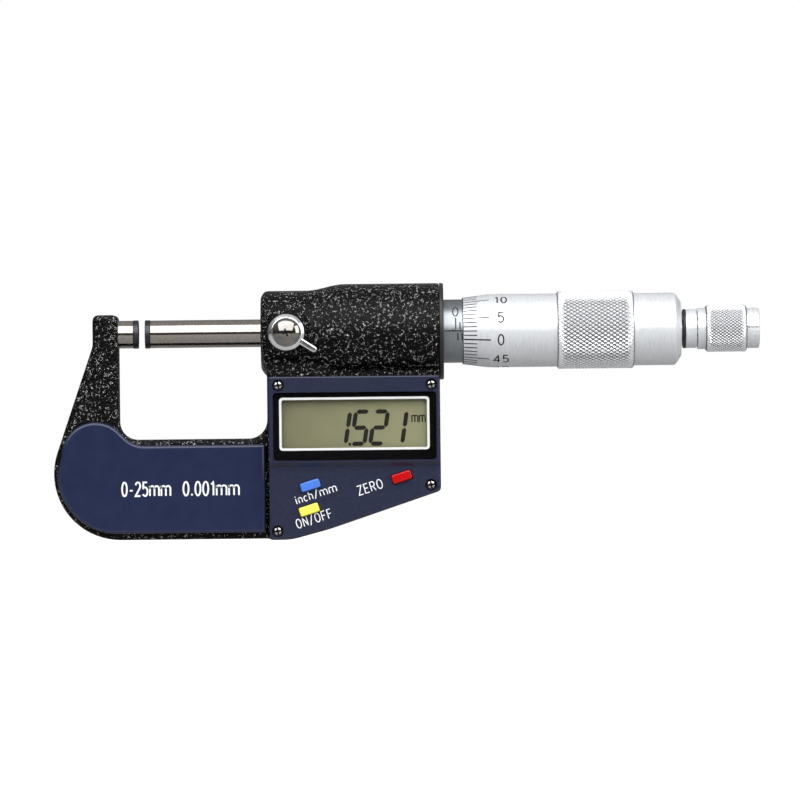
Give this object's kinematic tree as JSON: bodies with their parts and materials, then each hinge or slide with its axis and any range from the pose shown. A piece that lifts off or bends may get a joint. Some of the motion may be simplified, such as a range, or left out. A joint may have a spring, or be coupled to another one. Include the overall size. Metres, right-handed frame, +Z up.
{
  "type": "outside micrometer",
  "caption": "Digital outside micrometer: C-frame with anvil and spindle, display housing with keys, spindle lock, graduated sleeve and thimble, ratchet stop.",
  "frame": {"origin": "centre of the stand clamp's place on the back grip plate's outer face", "axes": "+X along the measuring axis from the anvil to the ratchet stop, -Y out of the display, +Z up"},
  "size_m": [0.166, 0.0247, 0.0598],
  "materials": {
    "enamel": "black hammertone enamel with pale flecks",
    "navy_plastic": "smooth, semi-gloss",
    "black_plastic": "smooth",
    "satin_chrome": "satin chrome plate",
    "ground_steel": "ground bright",
    "plated_steel": "nickel plated",
    "carbide": "lapped cemented carbide",
    "polished_chrome": "mirror bright",
    "brass": "machined",
    "rubber": "matt",
    "circuit_board": "solder resist",
    "display_glass": "olive-grey reflective display",
    "window": "clear",
    "blue_key": "satin",
    "yellow_key": "satin",
    "red_key": "satin"
  },
  "bodies": {
    "frame": {"frame": "enamel", "anvil": "ground_steel", "anvil_tip": "carbide", "grip_plate_front": "navy_plastic", "grip_plate_back": "navy_plastic", "display_cover": "navy_plastic", "display_window": "window", "lcd_panel": "display_glass", "contact_strip_upper": "rubber", "contact_strip_lower": "rubber", "main_board": "circuit_board", "unit_switch": "plated_steel", "power_switch": "plated_steel", "zero_switch": "plated_steel", "cover_screw_1": "plated_steel", "cover_screw_2": "plated_steel", "cover_screw_3": "plated_steel", "cover_screw_4": "plated_steel", "battery": "plated_steel", "battery_contact_negative": "plated_steel", "battery_contact_positive": "plated_steel", "encoder_stator": "circuit_board", "rotor_bearing": "brass", "rotor_spring": "plated_steel", "flex_cable": "circuit_board", "encoder_cover": "black_plastic", "inner_sleeve": "ground_steel", "adjusting_nut": "ground_steel", "sleeve": "satin_chrome"},
    "rotor": {"encoder_rotor": "circuit_board", "rotor_hub": "brass"},
    "spindle": {"spindle": "ground_steel", "spindle_tip": "carbide", "thimble": "satin_chrome", "ratchet_base": "satin_chrome", "ratchet_screw": "plated_steel"},
    "ratchet": {"ratchet_knob": "satin_chrome", "ratchet_slide_wheel": "ground_steel", "ratchet_spring": "plated_steel"},
    "lock_plug": {"clamp_plug": "brass"},
    "lock_lever": {"lock_lever": "polished_chrome", "lock_cap_screw": "polished_chrome", "lock_shaft": "ground_steel"},
    "unit_button": {"unit_button": "blue_key"},
    "power_button": {"power_button": "yellow_key"},
    "zero_button": {"zero_button": "red_key"},
    "battery_seal": {"battery_seal": "rubber"},
    "battery_cover": {"battery_cover": "black_plastic"}
  },
  "joints": [
    {"name": "rotor_spin", "type": "hinge", "parent": "frame", "child": "rotor", "pos_m": [0.046, -0.00685, 0.037], "axis": [1, 0, 0], "range_deg": [-1095.12, 16904.88]},
    {"name": "spindle_feed", "type": "slide", "parent": "rotor", "child": "spindle", "axis": [1, 0, 0], "range_m": [-0.00152, 0.02348]},
    {"name": "ratchet_spin", "type": "hinge", "parent": "spindle", "child": "ratchet", "pos_m": [0.046, -0.00685, 0.037], "axis": [1, 0, 0], "continuous": true},
    {"name": "lock_plug_slide", "type": "slide", "parent": "frame", "child": "lock_plug", "axis": [0, 1, 0], "range_m": [0, 0.0001458]},
    {"name": "lock_lever_turn", "type": "hinge", "parent": "lock_plug", "child": "lock_lever", "pos_m": [0.0289, -0.01685, 0.037], "axis": [0, 1, 0], "range_deg": [0, 75]},
    {"name": "unit_button_press", "type": "slide", "parent": "frame", "child": "unit_button", "axis": [0, 1, 0], "range_m": [0, 0.0005], "stiffness_N_per_m": 600},
    {"name": "power_button_press", "type": "slide", "parent": "frame", "child": "power_button", "axis": [0, 1, 0], "range_m": [0, 0.0005], "stiffness_N_per_m": 600},
    {"name": "zero_button_press", "type": "slide", "parent": "frame", "child": "zero_button", "axis": [0, 1, 0], "range_m": [0, 0.0005], "stiffness_N_per_m": 600},
    {"name": "battery_cover_lift", "type": "slide", "parent": "frame", "child": "battery_seal", "axis": [0, 1, 0], "range_m": [0, 0.00225]},
    {"name": "battery_cover_turn", "type": "hinge", "parent": "battery_seal", "child": "battery_cover", "pos_m": [0.0415, -0.00085, 0.001], "axis": [0, 1, 0], "range_deg": [0, 1080]}
  ],
  "couplings": [
    {"joint": "rotor_spin", "follows": "spindle_feed", "rad_per_m": 12566},
    {"joint": "lock_lever_turn", "follows": "lock_plug_slide", "rad_per_m": 8976},
    {"joint": "battery_cover_turn", "follows": "battery_cover_lift", "rad_per_m": 8377.6}
  ]
}
